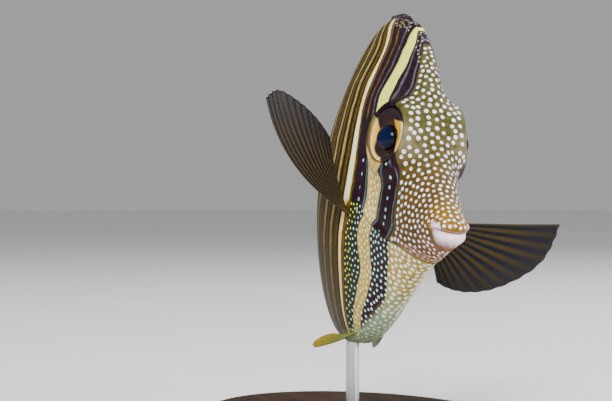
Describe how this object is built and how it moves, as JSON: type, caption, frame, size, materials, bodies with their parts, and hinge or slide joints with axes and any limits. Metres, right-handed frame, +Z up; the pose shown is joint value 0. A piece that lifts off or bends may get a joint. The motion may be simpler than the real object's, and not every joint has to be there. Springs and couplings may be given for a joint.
{
  "type": "sailfin tang on a display stand",
  "caption": "Life-size still model of a half-grown sailfin tang turning to its left, fins folded low, held over an oval base by one short rod.",
  "frame": {"origin": "middle of the underside of the stand's base", "axes": "+Z up; the fish's head points along -Y, its left side is towards +X"},
  "size_m": [0.0889, 0.1385, 0.0998],
  "materials": {
    "skin": "wet, finely scaled skin, olive brown with pale dots and cream and dark bands",
    "fin": "thin, half-clear membrane with raised rays",
    "eye": "polished, clear",
    "tail_spine": "smooth, bone white",
    "stand_wood": "dark walnut, satin",
    "stand_steel": "brushed"
  },
  "bodies": {
    "root": {"head": "skin", "torso": "skin", "peduncle": "skin", "dorsal_fin": "fin", "anal_fin": "fin", "caudal_fin": "fin", "pectoral_fin_left": "fin", "pectoral_fin_right": "fin", "pelvic_fin_left": "fin", "pelvic_fin_right": "fin", "eye_left": "eye", "eye_right": "eye", "tail_spine_left": "tail_spine", "tail_spine_right": "tail_spine", "stand_base": "stand_wood", "stand_rod": "stand_steel"}
  },
  "joints": []
}
